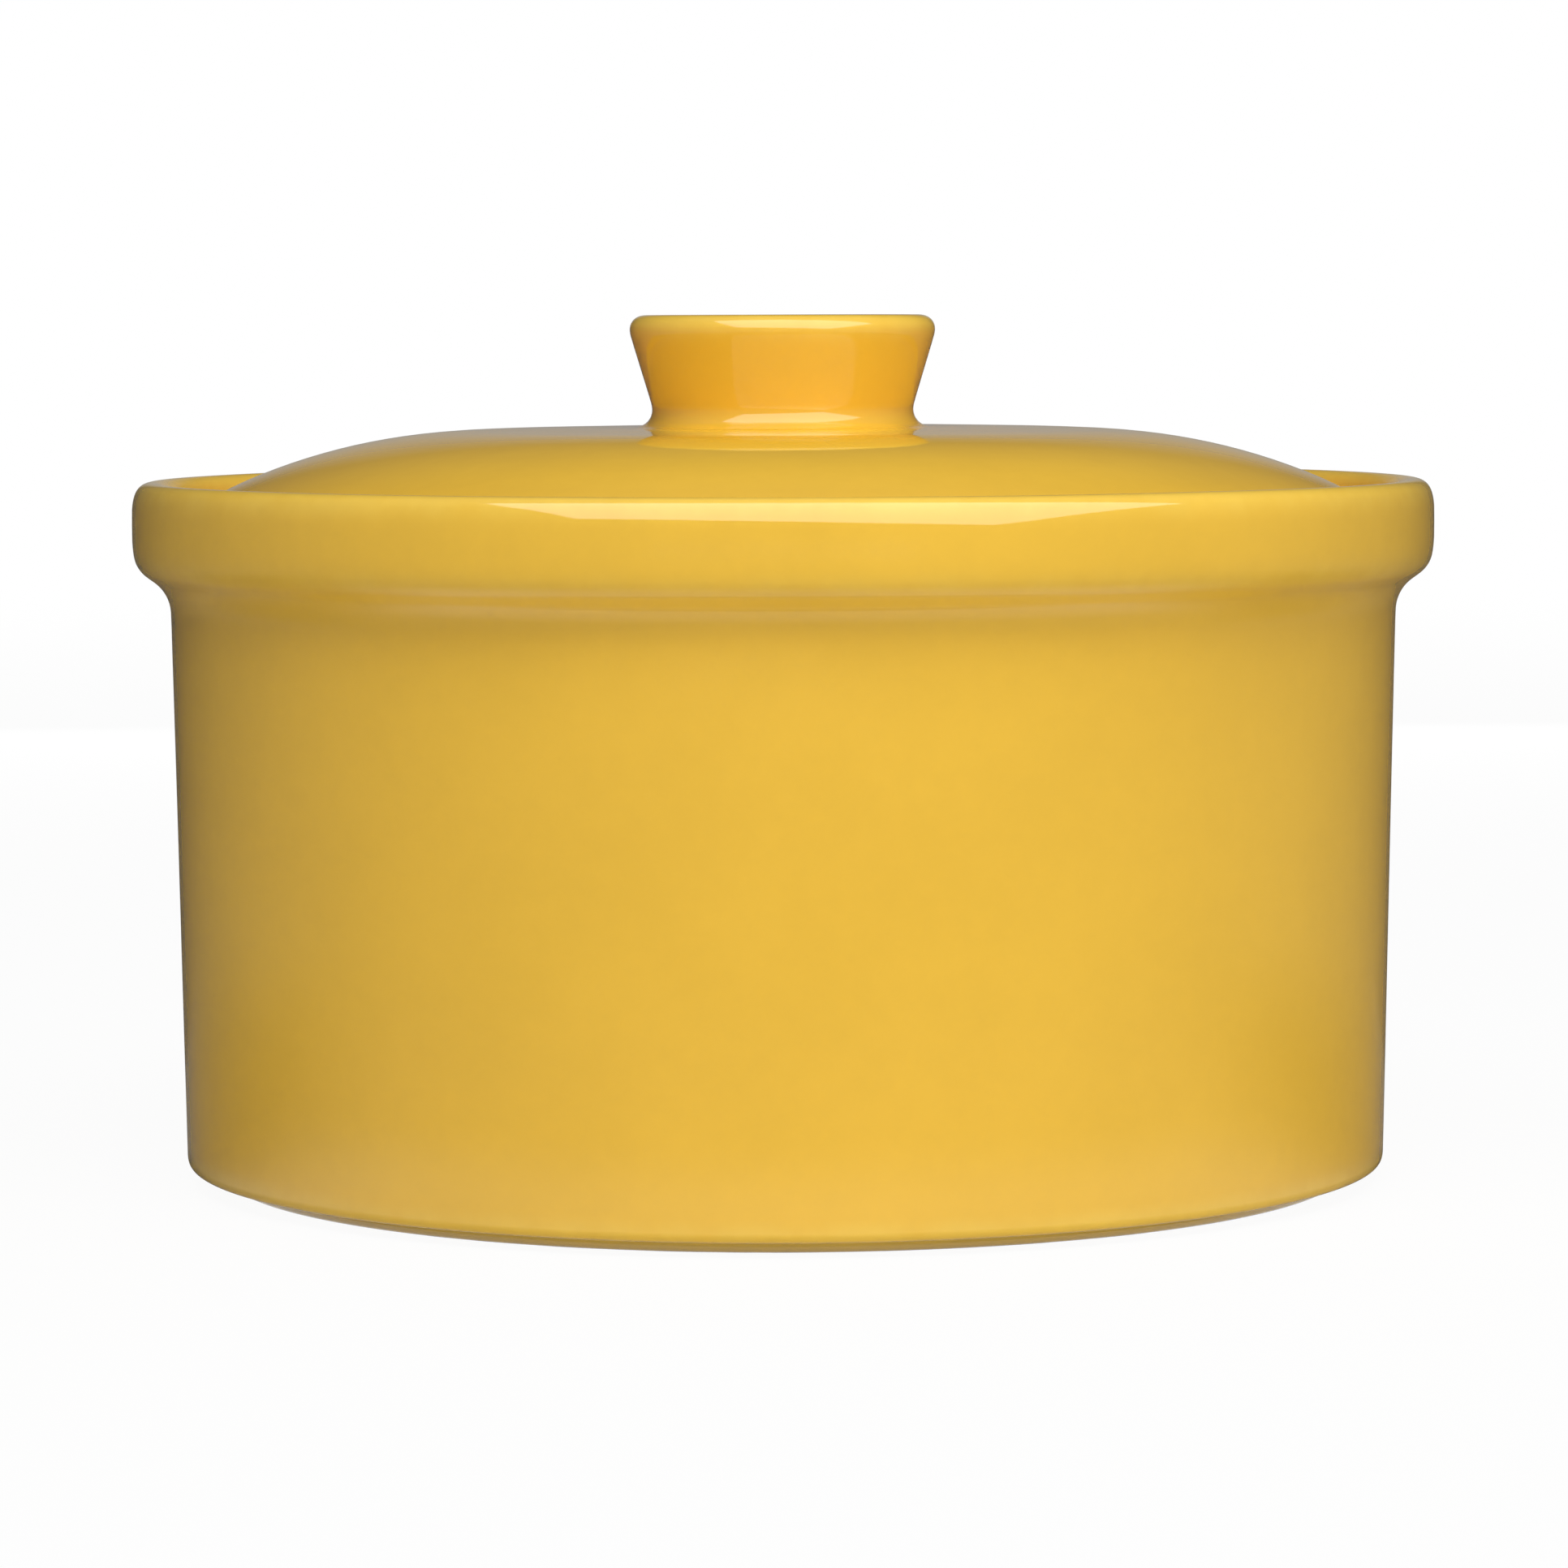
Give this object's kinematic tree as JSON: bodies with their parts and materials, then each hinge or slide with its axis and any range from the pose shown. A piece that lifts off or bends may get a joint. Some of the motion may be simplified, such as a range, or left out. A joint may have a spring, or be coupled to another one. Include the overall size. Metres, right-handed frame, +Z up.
{
  "type": "casserole pot",
  "caption": "Round straight-sided glazed ceramic casserole with a stepped collar rim and a recessed domed lid that lifts off by its flared knob.",
  "frame": {"origin": "centre of the ring-shaped face that the pot stands on", "axes": "+Z up along the axis that both pieces are turned about; every direction across it is alike"},
  "size_m": [0.21, 0.21, 0.1393],
  "materials": {
    "yellow_glaze": "glossy honey-yellow glaze over fired clay, bare on the foot's standing face and the lid's bearing face"
  },
  "bodies": {
    "pot": {"pot": "yellow_glaze"},
    "lid": {"lid": "yellow_glaze"}
  },
  "joints": [
    {"name": "lid_lift", "type": "slide", "parent": "pot", "child": "lid", "axis": [0, 0, 1], "range_m": [0, 0.12]}
  ]
}
